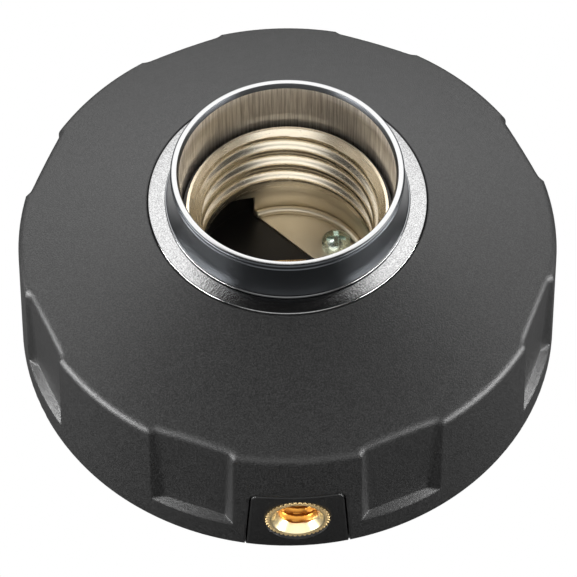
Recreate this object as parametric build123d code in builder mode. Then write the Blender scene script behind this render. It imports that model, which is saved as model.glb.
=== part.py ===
from build123d import *
from math import acos, cos, degrees, radians, sin, sqrt, tan
import os

os.makedirs("parts", exist_ok=True)

# Frame: the lamp's axis is +Z, the body stands on z = 0 and the stand insert faces -Y.
# All sizes are in millimetres.

# Wall and fit sizes shared by several pieces
wall_thickness = 2.2
seat_gap = 0.1
panel_gap = 0.25
cover_gap = 0.3
screw_fit = 0.05
hole_slack = 0.5
cut_reach = 10.0

# Domed body: a drum that narrows upwards by its draft, under a low dome
body_radius = 39.4
wall_draft = 1.7
shoulder_height = 22.3
shoulder_fillet = 1.6
foot_round = 1.9
dome_crown = 0.3
side_wall = 4.4
roof_thickness = 3.2
land_pocket_depth = 1.4
land_pocket_angle = 15.0
land_pocket_bottom = 5.2
land_pocket_height = 14.0
land_pocket_turns = (0, 45, 135, 180, 225, 315)

# Grip recesses round the wall
recess_count = 8
recess_depth = 1.45
recess_width = 12.4
recess_splay = 0.626
recess_floor_bottom = 5.85
recess_reach = 3.0
recess_headroom = 4.0
recess_corner_round = 1.0
first_recess_angle = 22.5

# Stand insert and the block of the base cover that holds it
insert_height = 7.9
insert_radius = 4.6
insert_length = 8.0
insert_setback = 0.12
insert_bore_radius = 2.55
insert_chamfer = 1.2
insert_groove_width = 1.2
insert_groove_depth = 0.5
block_top_width = 12.9
block_foot_width = 14.7
block_top_height = 13.65
block_corner = 1.1
block_depth = 9.6
gusset_length = 6.0
gusset_height = 7.5
gusset_thickness = 1.6
gusset_offset = 4.6

# Base cover and its screws
cover_thickness = 2.4
cover_rim_height = 1.8
cover_rim_thickness = 1.1
cover_screw_inset = 9.9
cover_boss_radius = 3.1
cover_screw_length = 10.0
boss_rib_thickness = 1.4
boss_rib_bottom = 5.0

# Screws of the M3 size used all through the holder
shank_radius = 1.5
head_radius = 2.75
head_height = 1.8
flat_head_radius = 2.9
flat_head_height = 1.5
cross_width = 0.7
cross_span = 2.8
cross_sink = 1.0

# Metal trim ring, collar and the ring nut that clamps them
ring_outer_radius = 19.85
ring_thickness = 0.95
ring_edge = 0.25
ring_sink = 0.9
collar_bore_radius = 15.3
collar_rim_radius = 16.5
collar_stand = 6.6
collar_rim_round = 0.38
collar_foot_radius = 17.45
collar_foot_gap = 0.22
collar_land_radius = 16.9
collar_belly = 0.12
collar_groove_depth = 0.16
collar_groove_height = 0.34
collar_groove_drop = 0.62
spigot_radius = 16.0
nut_width = 3.4
nut_thickness = 2.4
nut_notches = 6
nut_notch_width = 3.0
nut_notch_depth = 1.1
spigot_stub = 0.4

# Screw shell: rolled sheet with the large lamp thread
thread_pitch = 3.629
thread_crest_radius = 12.25
thread_root_radius = 13.35
thread_groove_half = 1.0
ridge_margin = 0.03
ridge_bite = 0.05
groove_bite = 0.1
ridge_lead_angle = 4.0
thread_rise = 7.35
thread_turns = 2.8
thread_start_angle = -90.0
sheet = 0.4
crest_sheet = 0.5
lip_radius = 14.4
lip_rise = 0.95
flare_drop = 1.35
skirt_radius = 12.5
skirt_height = 4.2
skirt_taper = 0.6
floor_edge_distance = 5.05
floor_edge_angle = 45.0
tab_height = 4.4
tab_shoulder_rise = 1.0
tab_shoulder_run = 2.2
bead_radius = 0.55
bead_inset = 0.5
bead_rise = 0.3

# Insulator body
insulator_radius = 14.95
insulator_bore_radius = 13.9
insulator_reach = 0.35
insulator_floor = 2.6
cup_depth = 16.75
skirt_clearance = 0.4
skirt_wall = 2.0
skirt_window_width = 10.0
skirt_window_height = 4.6
lug_circle = 24.0
lug_radius = 3.4
lug_drop = 5.6
lug_thickness = 2.5
lug_boss_step = 0.3
lug_screw_length = 7.0

# Contacts and terminals
shell_screw_circle = 9.25
shell_screw_angle = 37.3
shell_head_radius = 2.1
shell_shank_radius = 1.25
contact_screw_distance = 8.8
terminal_screw_depth = 2.0
leaf_width = 5.6
leaf_thickness = 0.5
leaf_tail = 2.2
leaf_bend_distance = 5.6
leaf_crest_distance = 1.3
leaf_crest_rise = 1.75
leaf_tip_length = 0.9
leaf_tip_drop = 0.3
leaf_bend_round = 1.0
rivet_flare = 0.2
tip_radius = 1.6
tip_height = 0.6
tip_stem_radius = 0.8
terminal_length = 7.4
terminal_width = 6.4
terminal_height = 5.6
terminal_clearance = 1.0
terminal_corner = 0.8
terminal_edge = 0.6
wire_hole_radius = 1.3
wire_hole_drop = 3.6
clamp_grub_length = 1.9
clamp_grub_proud = 0.3

# Cable inlet at the back
inlet_height = 9.0
inlet_hole_radius = 3.7
inlet_sink_radius = 5.2
inlet_sink_depth = 1.4
grommet_flange_radius = 5.0
grommet_inner_flange = 4.8
grommet_inner_thickness = 1.2
grommet_bore_radius = 2.6
grommet_inner_gap = 0.5
grommet_bead = 1.0
grommet_bead_edge = 0.7
grommet_bead_slope = 0.8
grommet_mouth = 0.4
clamp_inset = 12.9
clamp_width = 4.6
clamp_half_span = 9.6
clamp_split_drop = 0.4
clamp_bar_thickness = 2.2
clamp_arch_wall = 1.7
clamp_screw_spacing = 14.0
clamp_screw_length = 5.0
clamp_grip_radius = 2.5

# Sizes that follow from the ones above
shoulder_radius = body_radius - shoulder_height * tan(radians(wall_draft))
insert_wall_radius = body_radius - insert_height * tan(radians(wall_draft))
inlet_wall_radius = body_radius - inlet_height * tan(radians(wall_draft))
cavity_radius = body_radius - side_wall
insulator_floor_bottom = cover_thickness + terminal_height + terminal_clearance
shell_floor_height = insulator_floor_bottom + insulator_floor
insulator_top_height = shell_floor_height + cup_depth
ceiling_height = insulator_top_height - insulator_reach
dome_top_height = ceiling_height + roof_thickness
recess_apothem = body_radius - recess_floor_bottom * tan(radians(wall_draft)) - recess_depth
ring_seat_height = dome_top_height - ring_sink
collar_rim_height = dome_top_height + collar_stand
nut_radius = spigot_radius + nut_width
dome_slope = (dome_top_height - shoulder_height) / (shoulder_radius - ring_outer_radius)
dome_inner_drop = wall_thickness * sqrt(1 + dome_slope ** 2)
cavity_shoulder = shoulder_height + dome_slope * (shoulder_radius - cavity_radius) - dome_inner_drop
ceiling_radius = cavity_radius - (ceiling_height - cavity_shoulder) / dome_slope
cover_screw_circle = body_radius - cover_screw_inset
clamp_distance = body_radius - clamp_inset
lug_top_height = ceiling_height - lug_drop
skirt_bottom = cover_thickness + skirt_clearance
skirt_window_top = skirt_bottom + skirt_window_height
lip_height = insulator_top_height + lip_rise
flare_bottom = insulator_top_height - flare_drop
flare_radius = thread_root_radius + sheet
skirt_top = shell_floor_height + skirt_height
thread_bottom = shell_floor_height + thread_rise
thread_top = thread_bottom + thread_turns * thread_pitch
leaf_crest_height = shell_floor_height + leaf_crest_rise
bead_circle = skirt_radius - bead_inset
collar_foot_height = ring_seat_height + ring_thickness + collar_foot_gap
collar_seat_height = ring_seat_height + ring_thickness
nut_bottom = ceiling_height - nut_thickness
shell_floor_top = shell_floor_height + sheet
cover_hole_radius = shank_radius + screw_fit
clamp_split_height = inlet_height - clamp_split_drop
lug_seat = lug_top_height - lug_thickness
terminal_screw_tip = insulator_floor_bottom - terminal_screw_depth
leaf_seat = shell_floor_height + leaf_thickness
clamp_bar_top = clamp_split_height + clamp_bar_thickness
cover_screw_places = [
    (cover_screw_circle * cos(radians(a)), cover_screw_circle * sin(radians(a)))
    for a in (45, 135, 225, 315)
]
lug_places = [(lug_circle, 0), (-lug_circle, 0)]
clamp_screw_places = [
    (clamp_screw_spacing / 2, clamp_distance),
    (-clamp_screw_spacing / 2, clamp_distance),
]
shell_screw_place = (
    shell_screw_circle * cos(radians(shell_screw_angle)),
    shell_screw_circle * sin(radians(shell_screw_angle)),
)
contact_screw_place = (0, -contact_screw_distance)


def export_piece(piece, name):
    piece.part.label = name
    export_step(piece.part, f"parts/{name}.step")


# Radius of the drafted wall at a height
def wall_radius(height):
    return body_radius - height * tan(radians(wall_draft))


# Domed body: the outer form, a drum under a low dome
with BuildPart() as dome_form:
    with BuildSketch(Plane.XZ) as dome_section:
        with BuildLine() as dome_line:
            mid_radius = (shoulder_radius + ring_outer_radius) / 2
            mid_height = (shoulder_height + dome_top_height) / 2 + dome_crown
            Polyline((0, dome_top_height), (0, 0), (body_radius, 0), (shoulder_radius, shoulder_height))
            ThreePointArc(
                (shoulder_radius, shoulder_height),
                (mid_radius, mid_height),
                (ring_outer_radius, dome_top_height),
            )
            Line((ring_outer_radius, dome_top_height), (0, dome_top_height))
        make_face()
        foot_corner = dome_section.vertices().group_by(Axis.Y)[0].sort_by(Axis.X)[-1]
        fillet(foot_corner, foot_round)
    revolve(axis=Axis.Z)


# Plan of a grip recess at a height: flat floor, splayed sides that keep one width on the wall
def recess_plan(height):
    depth = sqrt(wall_radius(height) ** 2 - (recess_width / 2) ** 2) - recess_apothem
    floor_half = recess_width / 2 - depth / recess_splay
    side_half = floor_half + recess_reach / recess_splay
    with BuildSketch(Plane.XY.offset(height)) as plan:
        with BuildLine():
            Polyline(
                (recess_apothem, -floor_half),
                (recess_apothem + recess_reach, -side_half),
                (recess_apothem + recess_reach, side_half),
                (recess_apothem, floor_half),
                close=True,
            )
        make_face()
        fillet(plan.vertices().group_by(Axis.X)[0], recess_corner_round)
    return plan.sketch


with BuildPart() as recess_tool:
    for recess_level in (recess_floor_bottom, shoulder_height + recess_headroom):
        add(recess_plan(recess_level))
    loft(ruled=True)

# The block's outline, used for the notch in the body and the block on the cover
block_taper = (block_foot_width - block_top_width) / 2 / block_top_height
block_low_half = block_foot_width / 2 + block_taper * cut_reach
with BuildSketch(Plane.XZ) as block_outline:
    with BuildLine():
        FilletPolyline(
            (-block_low_half, -cut_reach),
            (-block_top_width / 2, block_top_height),
            (block_top_width / 2, block_top_height),
            (block_low_half, -cut_reach),
            radius=block_corner,
        )
        Line((block_low_half, -cut_reach), (-block_low_half, -cut_reach))
    make_face()

# Bosses that hang from the dome, trimmed by the dome itself
with BuildPart() as hanging_bosses:
    with BuildSketch(Plane.XY.offset(cover_thickness)) as cover_boss_section:
        with Locations(cover_screw_places):
            Circle(cover_boss_radius)
    extrude(amount=dome_top_height - cover_thickness)
    with BuildSketch(Plane.XY.offset(boss_rib_bottom)) as boss_rib_section:
        with PolarLocations(cover_screw_circle, 4, start_angle=45):
            with Locations((cover_boss_radius + wall_thickness / 2, 0)):
                Rectangle(2 * wall_thickness + cover_boss_radius, boss_rib_thickness)
    extrude(amount=dome_top_height - boss_rib_bottom)
    with BuildSketch(Plane.XY.offset(lug_top_height)) as lug_boss_section:
        with Locations(lug_places):
            Circle(lug_radius - lug_boss_step)
    extrude(amount=dome_top_height - lug_top_height)
    with BuildSketch(Plane.XY) as boss_limit:
        Circle(recess_apothem)
    extrude(amount=dome_top_height, mode=Mode.INTERSECT)
    add(dome_form.part, mode=Mode.INTERSECT)

with BuildPart() as housing:
    add(dome_form.part)
    with PolarLocations(0, recess_count, start_angle=first_recess_angle):
        add(recess_tool.part, mode=Mode.SUBTRACT)
    dome_face = housing.faces().filter_by(Plane.XY, reverse=True).sort_by(Axis.Z)[-1]
    fillet(dome_face.outer_wire().edges(), shoulder_fillet)
    # Inside: drum, sloping roof and flat ceiling
    with BuildSketch(Plane.XZ) as cavity_section:
        with BuildLine():
            Polyline(
                (0, 0),
                (cavity_radius, 0),
                (cavity_radius, cavity_shoulder),
                (ceiling_radius, ceiling_height),
                (0, ceiling_height),
                close=True,
            )
        make_face()
    revolve(axis=Axis.Z, mode=Mode.SUBTRACT)
    # Cored pockets behind six of the plain lands, for an even wall
    with BuildSketch(Plane.XY.offset(land_pocket_bottom)) as pocket_section:
        Circle(cavity_radius + land_pocket_depth)
        Circle(cavity_radius - hole_slack, mode=Mode.SUBTRACT)
        far = cavity_radius + cut_reach
        pocket_half = far * tan(radians(land_pocket_angle / 2))
        with BuildSketch(mode=Mode.INTERSECT):
            for pocket_turn in land_pocket_turns:
                with BuildLine():
                    along = (cos(radians(pocket_turn)), sin(radians(pocket_turn)))
                    across = (-along[1], along[0])
                    Polyline(
                        (0, 0),
                        (along[0] * far + across[0] * pocket_half,
                         along[1] * far + across[1] * pocket_half),
                        (along[0] * far - across[0] * pocket_half,
                         along[1] * far - across[1] * pocket_half),
                        close=True,
                    )
                make_face()
    extrude(amount=land_pocket_height, mode=Mode.SUBTRACT)
    add(hanging_bosses.part)
    # Seat of the trim ring and the hole for the collar
    with BuildSketch(Plane.XY.offset(ring_seat_height)) as ring_seat:
        Circle(ring_outer_radius + seat_gap)
    extrude(amount=dome_top_height, mode=Mode.SUBTRACT)
    with BuildSketch(Plane.XY.offset(ceiling_height - hole_slack)) as collar_hole:
        Circle(spigot_radius + seat_gap)
    extrude(amount=dome_top_height, mode=Mode.SUBTRACT)
    # Screw holes in the bosses
    with BuildSketch(Plane.XY.offset(cover_thickness)) as cover_pilot:
        with Locations(cover_screw_places):
            Circle(cover_hole_radius)
    extrude(amount=cover_screw_length, mode=Mode.SUBTRACT)
    with BuildSketch(Plane.XY.offset(lug_top_height)) as lug_pilot:
        with Locations(lug_places):
            Circle(cover_hole_radius)
    extrude(amount=lug_screw_length - lug_thickness + hole_slack, mode=Mode.SUBTRACT)
    # Notch for the insert block
    with BuildSketch(Plane.XZ.offset(cavity_radius - wall_thickness)) as notch_section:
        add(block_outline.sketch)
        offset(amount=panel_gap)
    extrude(amount=cut_reach, mode=Mode.SUBTRACT)
    # Cable inlet in the back wall
    with BuildSketch(Plane.XZ.offset(-cavity_radius + wall_thickness)) as inlet_section:
        with Locations((0, inlet_height)):
            Circle(inlet_hole_radius)
    extrude(amount=-cut_reach, mode=Mode.SUBTRACT)
    with BuildSketch(Plane.XZ.offset(-inlet_wall_radius + inlet_sink_depth)) as inlet_sink:
        with Locations((0, inlet_height)):
            Circle(inlet_sink_radius)
    extrude(amount=-cut_reach, mode=Mode.SUBTRACT)
export_piece(housing, "housing")

# Base cover: disc, low rim, insert block with gussets and the lower half of the cable clamp
with BuildPart() as base_cover:
    with BuildSketch(Plane.XY) as cover_disc:
        Circle(cavity_radius - cover_gap)
    extrude(amount=cover_thickness)
    with BuildSketch(Plane.XY.offset(cover_thickness)) as cover_rim:
        Circle(cavity_radius - cover_gap)
        Circle(cavity_radius - cover_gap - cover_rim_thickness, mode=Mode.SUBTRACT)
    extrude(amount=cover_rim_height)
    with BuildSketch(Plane.XZ.offset(body_radius - block_depth)) as block_section:
        add(block_outline.sketch)
    extrude(amount=block_depth)
    add(dome_form.part, mode=Mode.INTERSECT)
    # Gussets behind the block
    with BuildSketch(Plane.YZ.offset(gusset_offset - gusset_thickness / 2)) as gusset_section:
        with BuildLine():
            Polyline(
                (-body_radius + block_depth, cover_thickness),
                (-body_radius + block_depth, cover_thickness + gusset_height),
                (-body_radius + block_depth + gusset_length, cover_thickness),
                close=True,
            )
        make_face()
    gusset = extrude(amount=gusset_thickness)
    mirror(gusset, about=Plane.YZ)
    # Pocket for the insert
    with BuildSketch(Plane.XZ.offset(insert_wall_radius - insert_length - insert_setback)) as pocket:
        with Locations((0, insert_height)):
            Circle(insert_radius + screw_fit)
    extrude(amount=insert_length + cut_reach, mode=Mode.SUBTRACT)
    # Countersunk screw holes
    with BuildSketch(Plane.XY) as cover_holes:
        with Locations(cover_screw_places):
            Circle(cover_hole_radius)
    extrude(amount=cover_thickness, mode=Mode.SUBTRACT)
    for place in cover_screw_places:
        with Locations((place[0], place[1], flat_head_height / 2)):
            Cone(
                flat_head_radius + screw_fit,
                shank_radius + screw_fit,
                flat_head_height,
                mode=Mode.SUBTRACT,
            )
    # Lower half of the cable clamp
    with BuildSketch(Plane.XY.offset(cover_thickness)) as clamp_base:
        with Locations((0, clamp_distance)):
            Rectangle(2 * clamp_half_span, clamp_width)
    extrude(amount=clamp_split_height - cover_thickness)
    with BuildSketch(Plane.XZ.offset(-clamp_distance + clamp_width)) as clamp_groove:
        with Locations((0, inlet_height)):
            Circle(clamp_grip_radius)
    extrude(amount=-2 * clamp_width, mode=Mode.SUBTRACT)
    with BuildSketch(Plane.XY.offset(clamp_split_height)) as clamp_pilot:
        with Locations(clamp_screw_places):
            Circle(cover_hole_radius)
    extrude(amount=-clamp_screw_length - hole_slack, mode=Mode.SUBTRACT)
export_piece(base_cover, "base_cover")

# Brass stand insert: grooved drum, chamfered mouth, bore at the thread's crest
with BuildPart() as stand_insert:
    with BuildSketch(Plane.XY) as insert_section:
        with BuildLine():
            groove_low = (insert_length - insert_groove_width) / 2
            groove_high = (insert_length + insert_groove_width) / 2
            Polyline(
                (insert_bore_radius, 0),
                (insert_radius, 0),
                (insert_radius, groove_low),
                (insert_radius - insert_groove_depth, groove_low),
                (insert_radius - insert_groove_depth, groove_high),
                (insert_radius, groove_high),
                (insert_radius, insert_length),
                (insert_bore_radius + insert_chamfer, insert_length),
                (insert_bore_radius, insert_length - insert_chamfer),
                close=True,
            )
        make_face()
    revolve(axis=Axis.Y)
with BuildPart() as placed_insert:
    insert_back = Plane(
        origin=(0, -insert_wall_radius + insert_setback + insert_length, insert_height),
        x_dir=(-1, 0, 0),
        z_dir=(0, 0, 1),
    )
    with Locations(insert_back):
        add(stand_insert.part)
export_piece(placed_insert, "stand_insert")

# Metal trim ring, let into the top of the dome
with BuildPart() as trim_ring:
    with BuildSketch(Plane.XY.offset(ring_seat_height)) as ring_section:
        Circle(ring_outer_radius)
        Circle(spigot_radius + seat_gap, mode=Mode.SUBTRACT)
    extrude(amount=ring_thickness)
    ring_top_edge = trim_ring.faces().sort_by(Axis.Z)[-1].outer_wire().edges()
    chamfer(ring_top_edge, ring_edge)
export_piece(trim_ring, "trim_ring")

# Collar: turned sleeve with a polished rim and a flared foot
with BuildPart() as collar:
    with BuildSketch(Plane.XZ) as collar_section:
        with BuildLine() as collar_line:
            groove_top = collar_rim_height - collar_groove_drop
            groove_foot = groove_top - collar_groove_height
            wall_mid_radius = (collar_rim_radius + collar_foot_radius) / 2 - collar_belly
            wall_mid_height = (groove_foot + collar_foot_height) / 2
            Polyline(
                (spigot_radius, collar_seat_height),
                (spigot_radius, nut_bottom - spigot_stub),
                (collar_bore_radius, nut_bottom - spigot_stub),
                (collar_bore_radius, collar_rim_height),
                (collar_rim_radius, collar_rim_height),
                (collar_rim_radius, groove_top),
                (collar_rim_radius - collar_groove_depth, groove_top - collar_groove_height / 2),
                (collar_rim_radius, groove_foot),
            )
            ThreePointArc(
                (collar_rim_radius, groove_foot),
                (wall_mid_radius, wall_mid_height),
                (collar_foot_radius, collar_foot_height),
            )
            Polyline(
                (collar_foot_radius, collar_foot_height),
                (collar_land_radius, collar_foot_height),
                (collar_land_radius, collar_seat_height),
                (spigot_radius, collar_seat_height),
            )
        make_face()
        rim_corners = collar_section.vertices().group_by(Axis.Y)[-1]
        fillet(rim_corners, collar_rim_round)
    revolve(axis=Axis.Z)
export_piece(collar, "collar")

# Ring nut that clamps the collar to the dome, with spanner notches
with BuildPart() as collar_nut:
    with BuildSketch(Plane.XY.offset(nut_bottom)) as nut_section:
        Circle(nut_radius)
        Circle(spigot_radius + screw_fit, mode=Mode.SUBTRACT)
        with PolarLocations(nut_radius, nut_notches):
            Rectangle(2 * nut_notch_depth, nut_notch_width, mode=Mode.SUBTRACT)
    extrude(amount=nut_thickness)
export_piece(collar_nut, "collar_nut")

# Insulator body: cup for the shell, skirt round the terminals, two fixing lugs
with BuildPart() as insulator_body:
    with BuildSketch(Plane.XY.offset(skirt_bottom)) as insulator_drum:
        Circle(insulator_radius)
    extrude(amount=insulator_top_height - skirt_bottom)
    with BuildSketch(Plane.XY.offset(lug_top_height - lug_thickness)) as lug_section:
        SlotCenterToCenter(2 * lug_circle, 2 * lug_radius)
    extrude(amount=lug_thickness)
    with BuildSketch(Plane.XY.offset(shell_floor_height)) as cup_bore:
        Circle(insulator_bore_radius)
    extrude(amount=insulator_top_height, mode=Mode.SUBTRACT)
    with BuildSketch(Plane.XY.offset(skirt_bottom)) as skirt_bore:
        Circle(insulator_radius - skirt_wall)
    extrude(amount=insulator_floor_bottom - skirt_bottom, mode=Mode.SUBTRACT)
    with BuildSketch(Plane.XZ.offset(-insulator_radius + 2 * skirt_wall)) as window_section:
        with Locations((0, (skirt_bottom + skirt_window_top) / 2)):
            Rectangle(skirt_window_width, skirt_window_top - skirt_bottom)
    extrude(amount=-3 * skirt_wall, mode=Mode.SUBTRACT)
    with BuildSketch(Plane.XY.offset(lug_top_height - lug_thickness)) as lug_holes:
        with Locations(lug_places):
            Circle(shank_radius + seat_gap)
    extrude(amount=lug_thickness, mode=Mode.SUBTRACT)
    with BuildSketch(Plane.XY.offset(insulator_floor_bottom)) as floor_holes:
        with Locations(shell_screw_place, contact_screw_place):
            Circle(shell_shank_radius + seat_gap)
    extrude(amount=insulator_floor, mode=Mode.SUBTRACT)
export_piece(insulator_body, "insulator_body")


# A helical ridge of round section, for the inside or the outside of the rolled thread
def thread_ridge(foot_radius, crest_radius, half_width, lead_angle):
    start_turn = thread_start_angle + lead_angle
    start_height = thread_bottom + thread_pitch * lead_angle / 360
    height = thread_top - thread_bottom - 2 * thread_pitch * lead_angle / 360
    ridge_plane = Plane(origin=(0, 0, start_height), x_dir=(1, 0, 0), z_dir=(0, -1, 0))
    with BuildPart() as ridge:
        with BuildLine():
            helix = Helix(
                pitch=thread_pitch,
                height=height,
                radius=thread_crest_radius,
                center=(0, 0, start_height),
            )
        with BuildSketch(ridge_plane) as ridge_section:
            with BuildLine():
                ThreePointArc(
                    (foot_radius, -half_width), (crest_radius, 0), (foot_radius, half_width)
                )
                Line((foot_radius, half_width), (foot_radius, -half_width))
            make_face()
        sweep(path=helix, is_frenet=True)
    return Rotation(0, 0, start_turn) * ridge.part


# Screw shell: flared lip, rolled thread, smooth skirt and the floor that takes the side contact
with BuildPart() as screw_shell:
    with BuildSketch(Plane.XZ) as shell_section:
        with BuildLine():
            Polyline(
                (0, shell_floor_height),
                (skirt_radius + sheet, shell_floor_height),
                (skirt_radius + sheet, skirt_top),
                (thread_crest_radius + crest_sheet, skirt_top + skirt_taper),
                (thread_crest_radius + crest_sheet, flare_bottom),
                (flare_radius, insulator_top_height),
                (lip_radius, insulator_top_height),
                (lip_radius, lip_height),
                (0, lip_height),
                close=True,
            )
        make_face()
    revolve(axis=Axis.Z)
    outer_half = thread_pitch / 2 - ridge_margin
    add(thread_ridge(thread_crest_radius + crest_sheet - ridge_bite, flare_radius, outer_half, 0))
    with BuildSketch(Plane.XZ) as shell_bore:
        with BuildLine():
            Polyline(
                (0, shell_floor_top),
                (skirt_radius, shell_floor_top),
                (skirt_radius, skirt_top),
                (thread_crest_radius, skirt_top + skirt_taper),
                (thread_crest_radius, flare_bottom),
                (lip_radius - sheet, lip_height),
                (lip_radius + sheet, lip_height),
                (lip_radius + sheet, lip_height + thread_pitch),
                (0, lip_height + thread_pitch),
                close=True,
            )
        make_face()
    revolve(axis=Axis.Z, mode=Mode.SUBTRACT)
    add(
        thread_ridge(
            thread_crest_radius - groove_bite,
            thread_root_radius,
            thread_groove_half,
            ridge_lead_angle,
        ),
        mode=Mode.SUBTRACT,
    )
    # Floor: only the segment beyond the straight edge stays, with a round bead along its arc
    edge_plane = Plane(origin=(0, 0, shell_floor_height), z_dir=(0, 0, 1)).rotated(
        (0, 0, floor_edge_angle)
    )
    with BuildSketch(edge_plane) as floor_opening:
        Circle(skirt_radius)
        with Locations((floor_edge_distance, 0)):
            Rectangle(
                2 * skirt_radius,
                2 * skirt_radius,
                align=(Align.MAX, Align.CENTER),
                mode=Mode.INTERSECT,
            )
    extrude(amount=sheet, mode=Mode.SUBTRACT)
    # Skirt: cut away below the thread, apart from the tab that carries the floor
    tab_plane = Plane(
        origin=(0, 0, shell_floor_height),
        x_dir=(cos(radians(floor_edge_angle)), sin(radians(floor_edge_angle)), 0),
        z_dir=(sin(radians(floor_edge_angle)), -cos(radians(floor_edge_angle)), 0),
    )
    with BuildSketch(tab_plane) as tab_outline:
        with BuildLine():
            Polyline(
                (floor_edge_distance, -sheet),
                (floor_edge_distance, tab_height),
                (floor_edge_distance - tab_shoulder_run, tab_height + tab_shoulder_rise),
                (-2 * skirt_radius, tab_height + tab_shoulder_rise),
                (-2 * skirt_radius, -sheet),
                close=True,
            )
        make_face()
    extrude(amount=2 * skirt_radius, both=True, mode=Mode.SUBTRACT)
    bead_half_angle = degrees(acos(floor_edge_distance / bead_circle))
    bead_plane = Plane.XZ.rotated((0, 0, floor_edge_angle - bead_half_angle))
    with BuildSketch(bead_plane) as bead_section:
        with Locations((bead_circle, shell_floor_top + bead_rise)):
            Circle(bead_radius)
    revolve(axis=Axis.Z, revolution_arc=2 * bead_half_angle)
    with BuildSketch(Plane.XY.offset(shell_floor_height)) as shell_screw_hole:
        with Locations(shell_screw_place):
            Circle(shell_shank_radius + seat_gap)
    extrude(amount=sheet, mode=Mode.SUBTRACT)
export_piece(screw_shell, "screw_shell")


# A low crown from a head's edge to its middle, part of a circle centred on the axis
def crown_arc(edge_radius, edge_height, crown_height):
    rise = crown_height - edge_height
    curve_radius = (edge_radius ** 2 + rise ** 2) / (2 * rise)
    middle = edge_radius * 0.6
    middle_height = crown_height - curve_radius + sqrt(curve_radius ** 2 - middle ** 2)
    ThreePointArc((edge_radius, edge_height), (middle, middle_height), (0, crown_height))


# Pan-head screw standing on its seat: head up, shank down, cross recess
def pan_screw(radius, reach, crown_radius, crown_height):
    with BuildPart() as screw:
        with BuildSketch(Plane.XZ) as screw_section:
            with BuildLine():
                shoulder = crown_height * 0.45
                Polyline((0, crown_height), (0, -reach), (radius, -reach), (radius, 0))
                Polyline((radius, 0), (crown_radius, 0), (crown_radius, shoulder))
                crown_arc(crown_radius, shoulder, crown_height)
            make_face()
        revolve(axis=Axis.Z)
        with BuildSketch(Plane.XY.offset(crown_height - cross_sink)) as cross:
            Rectangle(cross_span, cross_width)
            Rectangle(cross_width, cross_span)
        extrude(amount=cross_sink, mode=Mode.SUBTRACT)
    return screw.part


# Countersunk screw seen from its head, which lies level with z = 0, shank up
def flat_screw(radius, reach, crown_radius, crown_height):
    with BuildPart() as screw:
        with BuildSketch(Plane.XZ) as screw_section:
            with BuildLine():
                Polyline(
                    (0, 0),
                    (crown_radius, 0),
                    (radius, crown_height),
                    (radius, reach),
                    (0, reach),
                    close=True,
                )
            make_face()
        revolve(axis=Axis.Z)
        with BuildSketch(Plane.XY) as cross:
            Rectangle(cross_span, cross_width)
            Rectangle(cross_width, cross_span)
        extrude(amount=cross_sink, mode=Mode.SUBTRACT)
    return screw.part


with BuildPart() as cover_screws:
    with Locations([(x, y, 0) for x, y in cover_screw_places]):
        add(flat_screw(shank_radius, cover_screw_length, flat_head_radius, flat_head_height))
export_piece(cover_screws, "cover_screws")

with BuildPart() as insulator_screws:
    with Locations([Location((x, y, lug_seat), (180, 0, 0)) for x, y in lug_places]):
        add(pan_screw(shank_radius, lug_screw_length, head_radius, head_height))
export_piece(insulator_screws, "insulator_screws")

# Side contact: screw through the shell's floor into its terminal
with BuildPart() as shell_screw:
    with Locations((*shell_screw_place, shell_floor_top)):
        add(
            pan_screw(
                shell_shank_radius, shell_floor_top - terminal_screw_tip, shell_head_radius, head_height
            )
        )
export_piece(shell_screw, "shell_screw")

# Centre contact: bent leaf spring with a riveted silver tip
with BuildPart() as contact_leaf:
    with BuildSketch(Plane.YZ.offset(-leaf_width / 2)) as leaf_section:
        with BuildLine():
            leaf_low = shell_floor_height + leaf_thickness / 2
            leaf_high = leaf_crest_height - leaf_thickness / 2
            FilletPolyline(
                (-contact_screw_distance - leaf_tail, leaf_low),
                (-leaf_bend_distance, leaf_low),
                (-leaf_crest_distance, leaf_high),
                (leaf_crest_distance, leaf_high),
                (leaf_crest_distance + leaf_tip_length, leaf_high - leaf_tip_drop),
                radius=leaf_bend_round,
            )
        trace(line_width=leaf_thickness)
    extrude(amount=leaf_width)
    with BuildSketch(Plane.XY.offset(shell_floor_height)) as leaf_screw_hole:
        with Locations(contact_screw_place):
            Circle(shell_shank_radius + seat_gap)
    extrude(amount=leaf_thickness, mode=Mode.SUBTRACT)
    with BuildSketch(Plane.XY.offset(leaf_crest_height - leaf_thickness)) as leaf_tip_hole:
        Circle(tip_stem_radius + screw_fit)
    extrude(amount=leaf_thickness, mode=Mode.SUBTRACT)
export_piece(contact_leaf, "contact_leaf")

with BuildPart() as contact_tip:
    with BuildSketch(Plane.XZ) as tip_section:
        with BuildLine():
            leaf_under = leaf_crest_height - leaf_thickness
            Polyline(
                (0, leaf_crest_height + tip_height),
                (0, leaf_under - leaf_thickness),
                (tip_radius / 2 + screw_fit, leaf_under - leaf_thickness),
                (tip_radius / 2 + rivet_flare, leaf_under),
                (tip_stem_radius, leaf_under),
                (tip_stem_radius, leaf_crest_height),
                (tip_radius, leaf_crest_height),
                (tip_radius, leaf_crest_height + tip_height / 3),
            )
            crown_arc(
                tip_radius, leaf_crest_height + tip_height / 3, leaf_crest_height + tip_height
            )
        make_face()
    revolve(axis=Axis.Z)
export_piece(contact_tip, "contact_tip")

with BuildPart() as contact_screw:
    with Locations((*contact_screw_place, leaf_seat)):
        add(
            pan_screw(
                shell_shank_radius, leaf_seat - terminal_screw_tip, shell_head_radius, head_height
            )
        )
export_piece(contact_screw, "contact_screw")


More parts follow.
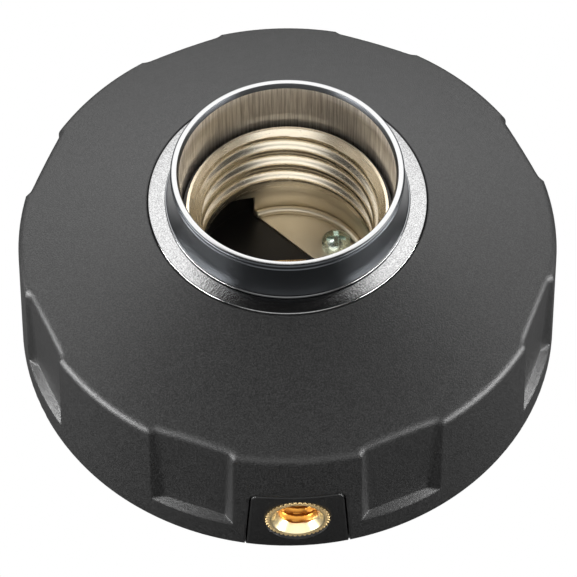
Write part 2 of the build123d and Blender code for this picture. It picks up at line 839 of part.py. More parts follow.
# Brass terminal block: its top lies under the insulator's floor, with the fixing screw on its axis
def terminal_block():
    block_out = terminal_width / 2
    clamp_place = (block_out - terminal_length + shank_radius + terminal_edge, 0)
    with BuildPart() as block:
        with BuildSketch(Plane.XY) as block_section:
            with Locations((block_out, 0)):
                RectangleRounded(
                    terminal_length, terminal_width, terminal_corner, align=(Align.MAX, Align.CENTER)
                )
        extrude(amount=-terminal_height)
        with BuildSketch(Plane.XY) as fixing_hole:
            Circle(shell_shank_radius + screw_fit)
        extrude(amount=-terminal_screw_depth - hole_slack, mode=Mode.SUBTRACT)
        with BuildSketch(Plane.XZ.offset(-terminal_width / 2)) as wire_hole:
            with Locations((clamp_place[0], -wire_hole_drop)):
                Circle(wire_hole_radius)
        extrude(amount=terminal_width, mode=Mode.SUBTRACT)
        with BuildSketch(Plane.XY.offset(-terminal_height)) as grub_hole:
            with Locations(clamp_place):
                Circle(shank_radius + screw_fit)
        extrude(amount=terminal_height - wire_hole_drop, mode=Mode.SUBTRACT)
    with BuildPart() as grub:
        with BuildSketch(Plane.XY.offset(-terminal_height - clamp_grub_proud)) as grub_section:
            with Locations(clamp_place):
                Circle(shank_radius)
        extrude(amount=clamp_grub_length)
        with BuildSketch(Plane.XY.offset(-terminal_height - clamp_grub_proud)) as grub_slot:
            with Locations(clamp_place):
                Rectangle(2 * shank_radius, cross_width)
        extrude(amount=cross_sink, mode=Mode.SUBTRACT)
    return block.part, grub.part


block_part, grub_part = terminal_block()
neutral_place = Location((*shell_screw_place, insulator_floor_bottom), (0, 0, shell_screw_angle))
line_place = Location((*contact_screw_place, insulator_floor_bottom), (0, 0, -90))
with BuildPart() as side_terminal:
    with Locations(neutral_place):
        add(block_part)
export_piece(side_terminal, "side_terminal")
with BuildPart() as centre_terminal:
    with Locations(line_place):
        add(block_part)
export_piece(centre_terminal, "centre_terminal")
with BuildPart() as terminal_screws:
    with Locations(neutral_place, line_place):
        add(grub_part)
export_piece(terminal_screws, "terminal_screws")

# Rubber grommet in the cable inlet
with BuildPart() as grommet_form:
    with BuildSketch(Plane.XZ) as grommet_section:
        with BuildLine():
            inner_face = cavity_radius - grommet_inner_gap
            outer_face = inlet_wall_radius - inlet_sink_depth
            Polyline(
                (grommet_bore_radius, inner_face - grommet_inner_thickness),
                (grommet_inner_flange, inner_face - grommet_inner_thickness),
                (grommet_inner_flange, inner_face),
                (inlet_hole_radius - seat_gap, inner_face),
                (inlet_hole_radius - seat_gap, outer_face),
                (grommet_flange_radius, outer_face),
                (grommet_flange_radius, outer_face + grommet_bead_edge),
                (grommet_flange_radius - grommet_bead_slope, outer_face + grommet_bead),
                (grommet_bore_radius + grommet_mouth, outer_face + grommet_bead),
                (grommet_bore_radius, outer_face + grommet_bead_edge),
                close=True,
            )
        make_face()
    revolve(axis=Axis.Z)
with BuildPart() as cable_grommet:
    with Locations(Location((0, 0, inlet_height), (-90, 0, 0))):
        add(grommet_form.part)
export_piece(cable_grommet, "cable_grommet")

# Clamp bar over the cable, with an arch in its middle
with BuildPart() as cable_clamp:
    with BuildSketch(Plane.XZ.offset(-clamp_distance - clamp_width / 2)) as clamp_section:
        with Locations((0, clamp_split_height)):
            Rectangle(
                2 * clamp_half_span, clamp_bar_thickness, align=(Align.CENTER, Align.MIN)
            )
        with Locations((0, inlet_height)):
            Circle(clamp_grip_radius + clamp_arch_wall)
        with Locations((0, clamp_split_height)):
            Rectangle(
                2 * clamp_half_span,
                2 * clamp_half_span,
                align=(Align.CENTER, Align.MAX),
                mode=Mode.SUBTRACT,
            )
        with Locations((0, inlet_height)):
            Circle(clamp_grip_radius, mode=Mode.SUBTRACT)
    extrude(amount=clamp_width)
    with BuildSketch(Plane.XY.offset(clamp_split_height)) as clamp_holes:
        with Locations(clamp_screw_places):
            Circle(shank_radius + seat_gap)
    extrude(amount=clamp_bar_thickness, mode=Mode.SUBTRACT)
export_piece(cable_clamp, "cable_clamp")

with BuildPart() as clamp_screws:
    with Locations([(x, y, clamp_bar_top) for x, y in clamp_screw_places]):
        add(
            pan_screw(
                shank_radius, clamp_bar_thickness + clamp_screw_length, head_radius, head_height
            )
        )
export_piece(clamp_screws, "clamp_screws")
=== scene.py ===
import math

import bpy
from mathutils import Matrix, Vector


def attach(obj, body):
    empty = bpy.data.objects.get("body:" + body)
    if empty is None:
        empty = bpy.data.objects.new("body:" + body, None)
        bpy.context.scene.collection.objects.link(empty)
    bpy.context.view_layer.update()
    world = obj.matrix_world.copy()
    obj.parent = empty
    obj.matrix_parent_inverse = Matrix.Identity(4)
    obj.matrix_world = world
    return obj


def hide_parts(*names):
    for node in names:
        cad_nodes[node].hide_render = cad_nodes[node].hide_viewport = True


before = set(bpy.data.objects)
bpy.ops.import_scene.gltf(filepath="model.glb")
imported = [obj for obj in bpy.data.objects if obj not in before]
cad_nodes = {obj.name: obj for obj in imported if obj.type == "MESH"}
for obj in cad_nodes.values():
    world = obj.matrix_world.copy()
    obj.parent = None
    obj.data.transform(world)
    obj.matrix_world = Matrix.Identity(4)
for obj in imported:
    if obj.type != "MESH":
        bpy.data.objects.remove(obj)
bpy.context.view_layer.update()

MM = 0.001

# Sizes that shapes and finishes share, in millimetres, as in the solids

body_edge = 38.5
ledge_low, ledge_high = 7.0, 8.0
ring_inner, ring_outer, ring_low, ring_top = 16.1, 19.85, 30.3, 31.25
bore_radius, sleeve_radius, sleeve_low = 15.3, 16.0, 25.2
seat_radius, flange_radius, flange_low, flange_top = 16.9, 17.45, 31.47, 31.8
wall_foot, wall_top = Vector((17.2, 31.86)), Vector((16.5, 36.84))
rim_radius, rim_top = 16.5, 37.8
rim_inner, rim_low = 15.6, 37.1
insert_face, insert_height = -39.05, 7.9
insert_mouth = 3.85


# Camera, at the photograph's place

view_distance = 516.5
view_elevation = math.radians(55.0)
view_turn = math.radians(-2.09)
view_target = Vector((0.138, 0.0, 9.026))
view_pixels = 3513.4
frame_pixels = 577
sensor_width = 36.0


def towards(turn, rise):
    """Unit vector to a place round the part; a turn of 0 stands in front of it."""
    return Vector((
        math.sin(turn) * math.cos(rise),
        -math.cos(turn) * math.cos(rise),
        math.sin(rise),
    ))


def aim(thing, name, target, back, distance):
    """An object for a camera or light, set back from its target and turned to it."""
    seat = bpy.data.objects.new(name, thing)
    seat.location = target + back * distance
    seat.rotation_mode = "QUATERNION"
    seat.rotation_quaternion = (-back).to_track_quat("-Z", "Y")
    bpy.context.scene.collection.objects.link(seat)
    return seat


def place_camera():
    camera = bpy.data.cameras.new("camera")
    camera.sensor_width = sensor_width
    camera.lens = view_pixels / frame_pixels * sensor_width
    camera.clip_start = 0.01
    camera.clip_end = 20.0
    back = towards(view_turn, view_elevation)
    bpy.context.scene.camera = aim(camera, "camera", view_target * MM, back, view_distance * MM)


place_camera()


# A small kit for shader nodes

class Reading:
    """A number that varies over a surface or the sky. Arithmetic on it adds maths nodes."""

    def __init__(self, kit, socket):
        self.kit = kit
        self.socket = socket

    def __add__(self, other):
        return self.kit.maths("ADD", self, other)

    def __radd__(self, other):
        return self.kit.maths("ADD", other, self)

    def __sub__(self, other):
        return self.kit.maths("SUBTRACT", self, other)

    def __rsub__(self, other):
        return self.kit.maths("SUBTRACT", other, self)

    def __mul__(self, other):
        return self.kit.maths("MULTIPLY", self, other)

    def __pow__(self, other):
        return self.kit.maths("POWER", self, other)


class NodeKit:
    """Adds nodes to one shader tree and links them."""

    def __init__(self, tree, output_kind):
        self.tree = tree
        self.tree.nodes.clear()
        self.output = self.tree.nodes.new(output_kind)

    def node(self, kind, settings=None, sockets=None, output=0):
        made = self.tree.nodes.new(kind)
        for name, value in (settings or {}).items():
            setattr(made, name, value)
        for name, value in (sockets or {}).items():
            if isinstance(value, Reading):
                self.tree.links.new(value.socket, made.inputs[name])
            else:
                made.inputs[name].default_value = value
        return Reading(self, made.outputs[output])

    def maths(self, operation, first, second=0.0):
        return self.node("ShaderNodeMath", {"operation": operation}, {0: first, 1: second})

    def split(self, vector):
        """The three parts of a vector."""
        parts = self.tree.nodes.new("ShaderNodeSeparateXYZ")
        self.tree.links.new(vector.socket, parts.inputs[0])
        return [Reading(self, parts.outputs[i]) for i in range(3)]

    def between(self, reading, start, end):
        """0 up to start and 1 past end, with a smooth step; start may be the larger."""
        return self.node(
            "ShaderNodeMapRange",
            {"interpolation_type": "SMOOTHSTEP"},
            {"Value": reading, "From Min": start, "From Max": end},
        )

    def shade(self, shader):
        self.tree.links.new(shader.socket, self.output.inputs["Surface"])


class Finish(NodeKit):
    """One material and its nodes. It takes lengths in millimetres and reads them in metres."""

    def __init__(self, name):
        self.material = bpy.data.materials.new(name)
        self.material.use_nodes = True
        super().__init__(self.material.node_tree, "ShaderNodeOutputMaterial")

    def place(self):
        """Object coordinates, which are the part's own frame in metres."""
        return self.node("ShaderNodeTexCoord", output="Object")

    def axes(self):
        return self.split(self.place())

    def radius(self):
        """Distance from the part's axis."""
        x, y, _ = self.axes()
        return (x * x + y * y) ** 0.5

    def step(self, reading, start, end):
        """As between, for a length."""
        return self.between(reading, start * MM, end * MM)

    def stretched(self, along_x, along_y, along_z):
        """Object coordinates stretched, so that what is drawn on them runs in streaks."""
        return self.node(
            "ShaderNodeVectorMath",
            {"operation": "MULTIPLY"},
            {0: self.place(), 1: (1 / along_x, 1 / along_y, 1 / along_z)},
        )

    def noise(self, size, detail=2.0, roughness=0.5, place=None):
        return self.node(
            "ShaderNodeTexNoise",
            sockets={
                "Vector": place or self.place(),
                "Scale": 1.0 / (size * MM),
                "Detail": detail,
                "Roughness": roughness,
            },
        )

    def cells(self, size):
        return self.node(
            "ShaderNodeTexVoronoi",
            {"feature": "SMOOTH_F1"},
            {"Vector": self.place(), "Scale": 1.0 / (size * MM)},
            output="Distance",
        )

    def mix(self, factor, first, second):
        """A colour between two colours."""
        made = self.tree.nodes.new("ShaderNodeMix")
        made.data_type = "RGBA"
        for place, value in ((0, factor), (6, first), (7, second)):
            if isinstance(value, Reading):
                self.tree.links.new(value.socket, made.inputs[place])
            else:
                made.inputs[place].default_value = value
        return Reading(self, made.outputs[2])

    def bump(self, height, depth, under=None):
        sockets = {"Height": height, "Distance": depth * MM, "Strength": 1.0}
        if under is not None:
            sockets["Normal"] = under
        return self.node("ShaderNodeBump", sockets=sockets)

    def lean(self, height, under=None):
        """A bump whose height is in metres, so that it leans the surface by its slope."""
        return self.bump(height, 1 / MM, under)

    def surface(self, **sockets):
        named = {name.replace("_", " "): value for name, value in sockets.items()}
        self.shade(self.node("ShaderNodeBsdfPrincipled", sockets=named))
        return self.material


def grey(value):
    return (value, value, value, 1.0)


def colour(red, green, blue):
    return (red, green, blue, 1.0)


def darker(tone, share):
    return tuple(share * c for c in tone[:3]) + (1.0,)


# Floor and light

floor_half = 3.0
floor_tone = 0.1
paper_radius, white_radius = 38.2, 38.45
high_panel = 4.3
front_panel = 1.8
under_panel = 1.5
dim_level = 0.03
side_turn, side_rise = 72, 3
side_distance, side_width, side_height = 0.6, 0.55, 0.09
left_radiance, right_radiance = 56.0, 48.0
light_target = Vector((0.0, 0.0, 20.0))


def make_stage():
    """Pale paper that the camera sees as white, up to the part's foot."""
    finish = Finish("floor_paper")
    seen = finish.node("ShaderNodeLightPath", output="Is Camera Ray")
    open_floor = finish.step(finish.radius(), paper_radius, white_radius)
    paper = finish.node("ShaderNodeBsdfDiffuse", sockets={"Color": grey(floor_tone)})
    white = finish.node("ShaderNodeEmission", sockets={"Color": grey(1.0), "Strength": 1.0})
    shaders = {0: seen * open_floor, 1: paper, 2: white}
    finish.shade(finish.node("ShaderNodeMixShader", sockets=shaders))
    mesh = bpy.data.meshes.new("floor")
    signs = [(-1, -1), (1, -1), (1, 1), (-1, 1)]
    corners = [(floor_half * x, floor_half * y, 0) for x, y in signs]
    mesh.from_pydata(corners, [], [(0, 1, 2, 3)])
    mesh.materials.append(finish.material)
    floor = bpy.data.objects.new("floor", mesh)
    bpy.context.scene.collection.objects.link(floor)


def softbox(name, turn, radiance):
    """A long low light at one side of the part, aimed at it."""
    light = bpy.data.lights.new(name, "AREA")
    light.shape = "RECTANGLE"
    light.size = side_width
    light.size_y = side_height
    light.energy = radiance * math.pi * side_width * side_height
    back = towards(math.radians(turn), math.radians(side_rise))
    aim(light, name, light_target * MM, back, side_distance)


def light_scene():
    """A tent of soft light: a broad panel high behind, a weaker one in front, dark overhead.

    The sky's level is read from the direction: x aside, y along the view, z up.
    """
    world = bpy.data.worlds.new("studio")
    bpy.context.scene.world = world
    world.use_nodes = True
    sky = NodeKit(world.node_tree, "ShaderNodeOutputWorld")
    x, along, up = sky.split(sky.node("ShaderNodeTexCoord", output="Generated"))
    aside = sky.maths("ABSOLUTE", x)
    arch = sky.maths("MINIMUM", aside, 0.4)
    behind = sky.between(along + arch * 0.5, 0.22, 0.42) * sky.between(up - arch * 0.3, 0.88, 0.83)
    behind = behind * sky.between(aside, 0.9, 0.66) * high_panel
    behind = behind * (sky.between(up, 0.25, 0.75) * 0.45 + 0.55)
    front = sky.between(along, -0.38, -0.62) * sky.between(aside, 0.7, 0.35) * front_panel
    under = sky.between(up, -0.15, -0.5) * under_panel
    level = behind + front + under + dim_level
    tent = sky.node("ShaderNodeBackground", sockets={"Strength": level})
    white = sky.node("ShaderNodeBackground", sockets={"Color": grey(1.0)})
    seen = sky.node("ShaderNodeLightPath", output="Is Camera Ray")
    sky.shade(sky.node("ShaderNodeMixShader", sockets={0: seen, 1: tent, 2: white}))
    softbox("light_left", -side_turn, left_radiance)
    softbox("light_right", side_turn, right_radiance)


make_stage()
light_scene()


# Materials

def body_plastic(name, tone, roughness):
    """Dark grained plastic with soft edges; the recess ledges catch light as if they fell away."""
    finish = Finish(name)
    fine = finish.noise(0.22, detail=2.0, roughness=0.7)
    coarse = finish.noise(1.4, detail=3.0, roughness=0.6)
    tint = finish.mix(finish.between(fine, 0.35, 0.7), grey(tone * 0.2), grey(tone * 7.0))
    _, _, z = finish.axes()
    _, _, facing_up = finish.split(finish.node("ShaderNodeNewGeometry", output="Normal"))
    ledge = finish.between(facing_up, 0.4, 0.7) * (1 - finish.step(z, ledge_low, ledge_high))
    edge = finish.node("ShaderNodeBevel", {"samples": 8}, {"Radius": 0.6 * MM})
    fall = finish.lean((body_edge * MM - finish.radius()) * ledge * 1.1, under=edge)
    return finish.surface(
        Base_Color=tint,
        Roughness=roughness + (coarse - 0.5) * 0.12,
        Normal=finish.bump(fine + coarse * 0.2, 0.045, under=fall),
    )


def streaked_metal(name, tone, roughness, size=0.6, along=(1, 1, 1), spread=0.12, depth=0.004):
    finish = Finish(name)
    streak = finish.noise(size, detail=4.0, roughness=0.65, place=finish.stretched(*along))
    stain = finish.noise(size * 5, detail=3.0)
    return finish.surface(
        Base_Color=finish.mix(stain, darker(tone, 0.88), tone),
        Metallic=1.0,
        Roughness=roughness + (streak - 0.5) * spread,
        Normal=finish.bump(streak, depth),
    )


def collar_metal():
    """Satin outside, polished rim and foot edge, and a bore brushed along the axis."""
    finish = Finish("collar_metal")
    _, _, z = finish.axes()
    across = finish.radius()
    bore = 1 - finish.step(across, bore_radius + 0.04, bore_radius + 0.12)
    bore = bore * (1 - finish.step(z, rim_low - 0.08, rim_low - 0.02))
    rim = finish.step(z, rim_low - 0.1, rim_low - 0.02)
    rim = rim * finish.step(across, rim_inner - 0.02, rim_inner + 0.06)
    rim = rim * (1 - finish.step(across, rim_radius - 0.28, rim_radius - 0.16))
    foot = finish.step(across, wall_foot.x + 0.02, wall_foot.x + 0.07)
    foot = foot * finish.step(z, flange_low + 0.03, flange_low + 0.13)
    polish = rim + foot * 0.4
    brush = finish.noise(0.25, detail=5.0, roughness=0.7, place=finish.stretched(1, 1, 40))
    bead = finish.noise(0.12, detail=2.0)
    outside = finish.mix(polish, colour(0.058, 0.062, 0.067), grey(0.29))
    streaks = finish.between(brush, 0.3, 0.65)
    inside = finish.mix(streaks, colour(0.58, 0.52, 0.46), colour(1.0, 0.95, 0.88))
    return finish.surface(
        Base_Color=finish.mix(bore, outside, inside),
        Metallic=1.0,
        Roughness=0.3 - polish * 0.16 + bore * (brush * 0.2 + 0.05),
        Normal=finish.bump(bead * (1 - polish) * (1 - bore) * 0.1 + brush * bore, 0.024),
    )


def blasted_metal():
    """Bead-blasted metal; its faint outward lean darkens the ring in front of the collar."""
    finish = Finish("trim_metal")
    grit = finish.cells(0.22)
    fine = finish.noise(0.12, detail=3.0, roughness=0.7)
    fall = finish.lean((ring_outer * MM - finish.radius()) * 0.18)
    return finish.surface(
        Base_Color=finish.mix(finish.between(fine, 0.3, 0.7), grey(0.13), grey(0.34)),
        Metallic=1.0,
        Roughness=0.1 + fine * 0.06,
        Normal=finish.bump(grit + fine * 0.8, 0.008, under=fall),
    )


def shell_metal():
    """Nickel-plated rolled brass: warm, bright, with fine marks that run round the thread."""
    finish = Finish("shell_metal")
    marks = finish.noise(0.5, detail=4.0, roughness=0.6, place=finish.stretched(6, 6, 0.5))
    stain = finish.noise(3.0, detail=3.0)
    _, _, z = finish.axes()
    low = 1 - finish.step(z, 16.5, 18.0)
    return finish.surface(
        Base_Color=finish.mix(stain, colour(0.76, 0.68, 0.53), colour(0.86, 0.79, 0.66)),
        Metallic=1.0,
        Roughness=0.2 + marks * 0.12 + low * 0.16,
        Normal=finish.bump(marks, 0.003),
    )


def insert_brass():
    """Brass: yellow at the mouth and duller on the knurl; deeper in the thread it is painted darker
    and more orange, as painted shade of the bore.
    """
    finish = Finish("insert_brass")
    x, y, z = finish.axes()
    # Past the mouth's chamfer the brass is painted darker and more orange: painted shade inside the
    # bore.
    painted_bore_shade = finish.step(y, insert_face + 0.65, insert_face + 1.85)
    marks = finish.noise(0.25, detail=3.0)
    aloft = z - insert_height * MM
    knurled = finish.step((x * x + aloft * aloft) ** 0.5, insert_mouth, insert_mouth + 0.1)
    mouth = finish.mix(marks, colour(0.90, 0.72, 0.40), colour(0.98, 0.85, 0.56))
    mouth = finish.mix(knurled, mouth, colour(0.50, 0.38, 0.20))
    return finish.surface(
        Base_Color=finish.mix(painted_bore_shade, mouth, colour(0.72, 0.33, 0.06)),
        Metallic=1.0,
        Roughness=0.25 + marks * 0.14 + painted_bore_shade * 0.04 + knurled * 0.34,
        Normal=finish.bump(marks, 0.006),
    )


def moulded(name, tone, roughness, depth):
    finish = Finish(name)
    flow = finish.noise(0.8, detail=4.0)
    fine = finish.noise(0.15, detail=2.0)
    return finish.surface(
        Base_Color=finish.mix(flow, darker(tone, 0.8), tone),
        Roughness=roughness + flow * 0.1,
        Normal=finish.bump(fine, depth),
    )


def dress(material, *names):
    for name in names:
        mesh = cad_nodes[name].data
        mesh.materials.clear()
        mesh.materials.append(material)


def dress_solids():
    """Finishes of the solids that show as they are."""
    dress(body_plastic("body_plastic", 0.0026, 0.44), "housing")
    dress(body_plastic("cover_plastic", 0.0012, 0.4), "base_cover")
    dark = colour(0.012, 0.010, 0.009)
    dress(moulded("insulator_plastic", dark, 0.3, 0.004), "insulator_body")
    steel = streaked_metal("screw_steel", grey(0.62), 0.3, size=0.3, along=(1, 1, 3))
    dress(steel, "cover_screws", "insulator_screws", "clamp_screws", "terminal_screws")
    green = colour(0.78, 0.90, 0.82)
    plated = streaked_metal("contact_screw_steel", green, 0.26, size=0.25, spread=0.3, depth=0.01)
    dress(plated, "shell_screw", "contact_screw")
    dress(streaked_metal("nut_steel", grey(0.58), 0.34, along=(1, 1, 4)), "collar_nut")
    bronze = colour(0.72, 0.52, 0.30)
    dress(streaked_metal("leaf_bronze", bronze, 0.28, along=(1, 8, 1)), "contact_leaf")
    dress(streaked_metal("tip_silver", grey(0.86), 0.16, size=0.3), "contact_tip")
    brass = streaked_metal("terminal_brass", colour(0.80, 0.62, 0.34), 0.26, along=(6, 1, 1))
    dress(brass, "side_terminal", "centre_terminal")
    dress(moulded("grommet_rubber", grey(0.018), 0.6, 0.02), "cable_grommet")
    dress(moulded("clamp_plastic", grey(0.03), 0.42, 0.01), "cable_clamp")


dress_solids()


# Pieces drawn finer than their solids, in millimetres

def corner_arc(before, corner, after, radius, steps=5):
    """Points of the round that takes the place of a corner."""
    first = (before - corner).normalized()
    second = (after - corner).normalized()
    half = first.angle(second) / 2
    centre = corner + (first + second).normalized() * radius / math.sin(half)
    start = corner + first * radius / math.tan(half) - centre
    end = corner + second * radius / math.tan(half) - centre
    angle = math.atan2(start.y, start.x)
    sweep = (math.atan2(end.y, end.x) - angle + math.pi) % (2 * math.pi) - math.pi
    turns = [angle + sweep * k / steps for k in range(steps + 1)]
    return [centre + radius * Vector((math.cos(turn), math.sin(turn))) for turn in turns]


def rounded(corners):
    """A closed outline from corners of (radius, height, round)."""
    outline = []
    for i, (across, up, radius) in enumerate(corners):
        corner = Vector((across, up))
        if radius:
            before = Vector(corners[i - 1][:2])
            after = Vector(corners[(i + 1) % len(corners)][:2])
            outline += corner_arc(before, corner, after, radius)
        else:
            outline.append(corner)
    return outline


def round_axis(across, angle, up):
    """The point at a distance from the part's axis, an angle round it and a height."""
    return (across * math.cos(angle), across * math.sin(angle), up)


def skin(rings, count, closed=True, inward=False):
    """Faces that join rings of points, each to the next, and the last to the first if closed."""
    faces = []
    for i in range(rings if closed else rings - 1):
        near, far = i * count, (i + 1) % rings * count
        for j in range(count):
            k = (j + 1) % count
            if inward:
                faces.append((near + j, near + k, far + k, far + j))
            else:
                faces.append((near + j, far + j, far + k, near + k))
    return faces


def turned(outline, steps=360):
    """Points and faces of a closed outline turned round the axis."""
    points = []
    for i in range(steps):
        angle = 2 * math.pi * i / steps
        points += [round_axis(across, angle, up) for across, up in outline]
    return points, skin(steps, len(outline))


def joined(*shapes):
    """Points and faces of several shapes as one."""
    points, faces = [], []
    for more_points, more_faces in shapes:
        shift = len(points)
        points += more_points
        faces += [tuple(shift + i for i in face) for face in more_faces]
    return points, faces


def stand_for(node, shape, material, sharp=35.0):
    """Makes a shape into a piece that takes a solid's place."""
    points, faces = shape
    name = node + "_fine"
    mesh = bpy.data.meshes.new(name)
    mesh.from_pydata([(x * MM, y * MM, z * MM) for x, y, z in points], [], faces)
    mesh.materials.append(material)
    mesh.shade_smooth()
    mesh.set_sharp_from_angle(angle=math.radians(sharp))
    piece = bpy.data.objects.new(name, mesh)
    bpy.context.scene.collection.objects.link(piece)
    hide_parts(node)
    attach(piece, "root")


# Trim ring and collar

ring_round, ring_inner_round = 0.22, 0.05
wall_hollow, wall_steps = 0.12, 16
groove_depth, groove_half, groove_height = 0.16, 0.17, 37.01
foot_round, flange_round = 0.2, 0.08
groove_round, groove_floor_round = 0.04, 0.06
rim_round, rim_inner_round, bore_round = 0.36, 0.06, 0.05


def ring_outline():
    return rounded([
        (ring_inner, ring_low, 0),
        (ring_outer, ring_low, 0),
        (ring_outer, ring_top, ring_round),
        (ring_inner, ring_top, ring_inner_round),
    ])


def collar_outline():
    """The collar's section, with a slightly hollow wall and a groove under the rim."""
    hollow = []
    for k in range(1, wall_steps):
        share = k / wall_steps
        depth = wall_hollow * math.sin(math.pi * share)
        hollow.append((*(wall_foot.lerp(wall_top, share) - Vector((depth, 0))), 0))
    return rounded([
        (bore_radius, sleeve_low, 0),
        (sleeve_radius, sleeve_low, 0),
        (sleeve_radius, ring_top, 0),
        (seat_radius, ring_top, 0),
        (seat_radius, flange_low, 0),
        (flange_radius, flange_low, flange_round),
        (flange_radius, flange_top, foot_round),
        (*wall_foot, 0),
        *hollow,
        (rim_radius, groove_height - groove_half, groove_round),
        (rim_radius - groove_depth, groove_height, groove_floor_round),
        (rim_radius, groove_height + groove_half, groove_round),
        (rim_radius, rim_top, rim_round),
        (rim_inner, rim_top, rim_inner_round),
        (bore_radius, rim_low, bore_round),
    ])


stand_for("trim_ring", turned(ring_outline()), blasted_metal())
stand_for("collar", turned(collar_outline()), collar_metal())


# Screw shell: thread, skirt tab and floor, drawn as bent sheet

crest_radius, root_radius = 12.25, 13.35
pitch, thread_start, thread_low = 3.629, -90.0, 18.95
thread_end, thread_fade = 0.5, 0.12
thread_foot = 16.6
sheet = 0.4
skirt_radius, skirt_top, skirt_run = 12.5, 16.4, 0.6
lip_height, lip_radius, lip_fold, flare_low = 29.3, 14.4, 28.35, 27.0
tab_middle, tab_half, tab_low, tab_edge = 45.0, 66.2, 11.6, 0.05
edge_low, edge_high, edge_rise = 16.2, 18.2, 0.105
wall_rows, low_rows, row_split = 80, 10, 18.4
wall_step = 1.5
floor_edge, floor_steps, floor_overlap = 5.05, 48, 0.05
bead_radius, bead_tube, bead_height = 11.95, 0.62, 12.35
bead_steps, bead_sides = 60, 14
bead_ends = [(-0.45, 0.3), (-0.3, 0.75), (0.0, 1.0)]


def kept_within(value):
    return min(1.0, max(0.0, value))


def thread_depth(angle, height):
    """How far the rolled thread stands out from its crest, 0 to the full depth."""
    full = root_radius - crest_radius
    turns = (math.degrees(angle) - thread_start) / 360
    risen = (height - thread_low) / pitch
    phase = risen - turns
    span = abs(phase - round(phase)) * pitch
    quarter = pitch / 4
    bend = (quarter * quarter + (full / 2) ** 2) / full
    if span < quarter:
        depth = full - bend + math.sqrt(bend * bend - span * span)
    else:
        depth = bend - math.sqrt(max(0.0, bend * bend - (pitch / 2 - span) ** 2))
    return depth * kept_within((risen - turns % 1.0 + thread_end) / thread_fade)


def shell_inside(angle, height):
    """Inner radius of the sheet: skirt, thread or flare, whichever is widest."""
    low = kept_within((skirt_top - height) / skirt_run)
    smooth = crest_radius + (skirt_radius - crest_radius) * low
    flare = max(0.0, height - flare_low) / (lip_height - flare_low)
    cone = crest_radius + (lip_radius - sheet - crest_radius) * flare
    thread = crest_radius + thread_depth(angle, height) if height > thread_foot else 0.0
    return max(smooth, cone, thread)


def shell_low(degrees):
    """The sheet's lower edge: the tab reaches the floor, the rest ends under the thread."""
    off = abs((degrees - tab_middle + 180) % 360 - 180)
    if off < tab_half:
        return tab_low
    return min(edge_high, edge_low + (off - tab_half) * edge_rise)


def shell_wall():
    """The sleeve, with shared rows above the split so that the tab's edges leave no seam."""
    angles = {i * wall_step for i in range(round(360 / wall_step))}
    for edge in (tab_middle - tab_half, tab_middle + tab_half):
        angles |= {(edge - tab_edge) % 360, (edge + tab_edge) % 360}
    points = []
    for degrees in sorted(angles):
        angle = math.radians(degrees)
        low = shell_low(degrees)
        heights = [low + (row_split - low) * k / low_rows for k in range(low_rows)]
        rise = lip_height - row_split
        heights += [row_split + rise * k / wall_rows for k in range(wall_rows + 1)]
        inner = [(shell_inside(angle, up), up) for up in heights]
        outer = [(lip_radius if up > lip_fold else r + sheet, up) for r, up in reversed(inner)]
        points += [round_axis(across, angle, up) for across, up in inner + outer]
    return points, skin(len(angles), len(inner + outer), inward=True)


def floor_plate():
    """The floor's segment, from its straight edge to the skirt."""
    points, faces = [], []
    middle = math.radians(tab_middle)
    half = math.acos(floor_edge / skirt_radius)
    for k in range(floor_steps + 1):
        angle = middle - half + 2 * half * k / floor_steps
        chord = floor_edge / math.cos(angle - middle)
        for across in (chord, skirt_radius + floor_overlap):
            points += [round_axis(across, angle, up) for up in (tab_low, tab_low + sheet)]
    for k in range(floor_steps):
        a, b = 4 * k, 4 * k + 4
        faces += [
            (a + 1, a + 3, b + 3, b + 1),
            (a, b, b + 2, a + 2),
            (a, a + 1, b + 1, b),
            (a + 2, b + 2, b + 3, a + 3),
        ]
    return points, faces


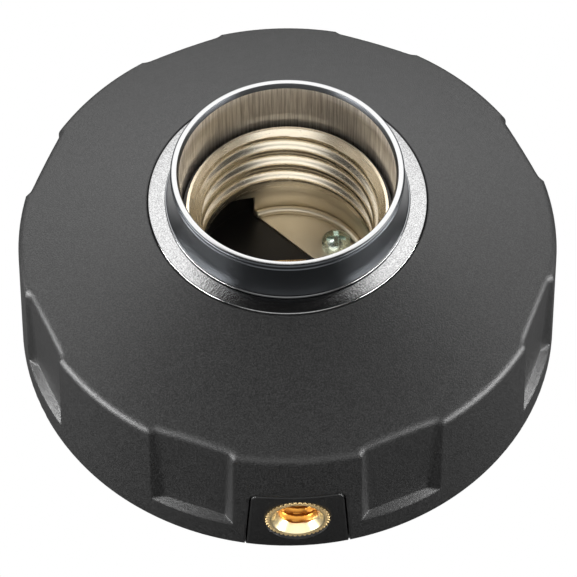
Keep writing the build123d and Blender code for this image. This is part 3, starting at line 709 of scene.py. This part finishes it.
def floor_bead():
    """The bead along the skirt, with rounded ends."""
    half = math.acos(floor_edge / bead_radius)
    spine = [(-half + turn * bead_tube / bead_radius, scale) for turn, scale in bead_ends]
    spine += [(-half + 2 * half * k / bead_steps, 1.0) for k in range(1, bead_steps)]
    spine += [(half - turn * bead_tube / bead_radius, scale) for turn, scale in reversed(bead_ends)]
    points = []
    for turn, scale in spine:
        for j in range(bead_sides):
            side = 2 * math.pi * j / bead_sides
            across = bead_radius + bead_tube * scale * math.cos(side)
            up = bead_height + bead_tube * scale * math.sin(side)
            points.append(round_axis(across, math.radians(tab_middle) + turn, up))
    faces = skin(len(spine), bead_sides, closed=False)
    last = len(points) - bead_sides
    faces.append(tuple(range(bead_sides)))
    faces.append(tuple(last + j for j in reversed(range(bead_sides))))
    return points, faces


shell_shape = joined(shell_wall(), floor_plate(), floor_bead())
stand_for("screw_shell", shell_shape, shell_metal(), sharp=50.0)


# Stand insert: knurled drum, chamfered mouth and a 1/4 inch thread

knurl_teeth, knurl_depth, knurl_power = 40, 0.42, 1.5
drum_radius, waist_depth, insert_length = 4.6, 0.5, 8.0
insert_bore, insert_major, insert_pitch = 2.55, 3.17, 1.27
chamfer_radius, mouth_depth = 3.8, 0.05
insert_steps, insert_rows = 240, 76


def insert_shape():
    """A section for each angle: the outside from the back to the mouth, then the thread."""
    points = []
    for i in range(insert_steps):
        angle = 2 * math.pi * i / insert_steps
        tooth = abs((i * knurl_teeth / insert_steps) % 1.0 - 0.5) * 2
        knurl = drum_radius - knurl_depth * tooth ** knurl_power
        waist = drum_radius - waist_depth
        section = [
            (knurl, -insert_length), (knurl, -4.6), (waist, -4.55), (waist, -3.45),
            (knurl, -3.4), (knurl, -0.22), (knurl - 0.02, -0.05), (knurl - 0.08, 0.0),
            (insert_mouth, 0.0),
        ]
        for k in range(insert_rows + 1):
            up = -mouth_depth - (insert_length - mouth_depth) * k / insert_rows
            phase = up / insert_pitch - angle / (2 * math.pi)
            wave = abs(phase - math.floor(phase) - 0.5) * 2
            cut = (insert_major - insert_bore) * kept_within(wave * 1.3 - 0.15)
            section.append((max(chamfer_radius + up, insert_bore + cut), up))
        points += [
            (r * math.cos(angle), insert_face - up, r * math.sin(angle) + insert_height)
            for r, up in section
        ]
    return points, skin(insert_steps, len(section), inward=True)


stand_for("stand_insert", insert_shape(), insert_brass(), sharp=40.0)


bpy.context.scene.view_settings.view_transform = "Standard"
